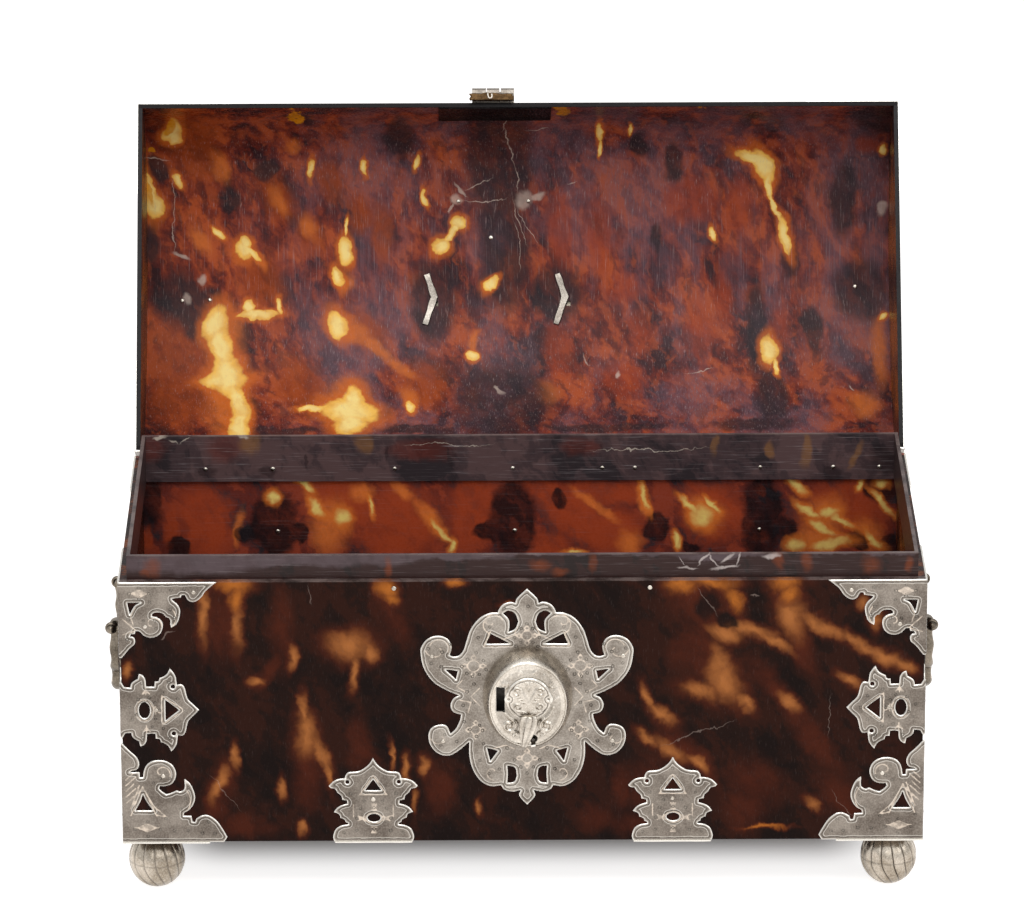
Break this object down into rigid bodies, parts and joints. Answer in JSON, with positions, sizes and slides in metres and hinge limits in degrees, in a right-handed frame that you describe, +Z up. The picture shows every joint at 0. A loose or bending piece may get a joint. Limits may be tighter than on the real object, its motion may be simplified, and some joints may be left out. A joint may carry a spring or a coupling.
{
  "type": "tortoiseshell casket",
  "caption": "Oblong table casket of shell plates with a barrel lid standing open, pierced silver corner mounts, hasp and lock, drop handles and ball feet.",
  "frame": {"origin": "middle of the bottom of the bounding box, with the lid standing open", "axes": "+X along the front to the viewer's right, +Y to the back where the hinges are, +Z up"},
  "size_m": [0.2954, 0.2552, 0.2357],
  "materials": {
    "tortoiseshell": "polished",
    "lip_shell": "worn",
    "silver": "satin, rubbed bright on the edges",
    "iron": "plain",
    "dark_strip": "satin"
  },
  "bodies": {
    "base": {"back_left_edge_mount": "silver", "back_left_foot": "silver", "back_left_low_mount": "silver", "back_left_top_mount": "silver", "back_lip": "lip_shell", "back_panel": "tortoiseshell", "back_right_edge_mount": "silver", "back_right_foot": "silver", "back_right_low_mount": "silver", "back_right_top_mount": "silver", "bolt_spring": "iron", "bottom_panel": "tortoiseshell", "box_rivets": "silver", "cover_pin": "silver", "escutcheon": "silver", "front_left_edge_mount": "silver", "front_left_foot": "silver", "front_left_low_mount": "silver", "front_left_top_mount": "silver", "front_lip": "lip_shell", "front_panel": "tortoiseshell", "front_right_edge_mount": "silver", "front_right_foot": "silver", "front_right_low_mount": "silver", "front_right_top_mount": "silver", "hinge_pins": "silver", "left_base_mount": "silver", "left_box_leaf": "silver", "left_handle_eyes": "silver", "left_lip": "lip_shell", "left_panel": "tortoiseshell", "left_rosette": "silver", "lock_case": "silver", "lock_disc": "silver", "lock_plate": "iron", "middle_box_leaf": "silver", "right_base_mount": "silver", "right_box_leaf": "silver", "right_handle_eyes": "silver", "right_lip": "lip_shell", "right_panel": "tortoiseshell", "right_rosette": "silver"},
    "lid": {"hasp_backing_strip": "dark_strip", "hasp_pin": "silver", "hasp_plate": "silver", "lid_back_mounts": "silver", "lid_crown_mounts": "silver", "lid_dome": "tortoiseshell", "lid_front_mounts": "silver", "lid_leaves": "silver", "lid_left_end": "tortoiseshell", "lid_right_end": "tortoiseshell", "lid_rivets": "silver", "top_handle_eyes": "silver"},
    "hasp": {"hasp": "silver"},
    "bolt": {"lock_bolt": "iron"},
    "cover": {"keyhole_cover": "silver"},
    "left_bail": {"left_bail": "silver"},
    "right_bail": {"right_bail": "silver"},
    "top_bail": {"top_bail": "silver"}
  },
  "joints": [
    {"name": "lid_hinge", "type": "hinge", "parent": "base", "child": "lid", "pos_m": [0, 0.01893, 0.1182], "axis": [1, 0, 0], "range_deg": [0, 121]},
    {"name": "hasp_hinge", "type": "hinge", "parent": "lid", "child": "hasp", "pos_m": [-0.0092, 0.08948, 0.2333], "axis": [1, 0, 0], "range_deg": [0, 179]},
    {"name": "lock_bolt", "type": "slide", "parent": "base", "child": "bolt", "axis": [-1, 0, 0], "range_m": [0, 0.0042]},
    {"name": "keyhole_cover", "type": "hinge", "parent": "base", "child": "cover", "pos_m": [0.0019, -0.12547, 0.0718], "axis": [0, 1, 0], "range_deg": [-60, 60]},
    {"name": "left_bail", "type": "hinge", "parent": "base", "child": "left_bail", "pos_m": [-0.1454, -0.04767, 0.085], "axis": [0, 1, 0], "range_deg": [0, 95]},
    {"name": "right_bail", "type": "hinge", "parent": "base", "child": "right_bail", "pos_m": [0.1454, -0.04767, 0.085], "axis": [0, -1, 0], "range_deg": [0, 95]},
    {"name": "top_bail", "type": "hinge", "parent": "lid", "child": "top_bail", "pos_m": [-0.006, 0.10071, 0.14675], "axis": [1, 0, 0], "range_deg": [-30, 140]}
  ]
}
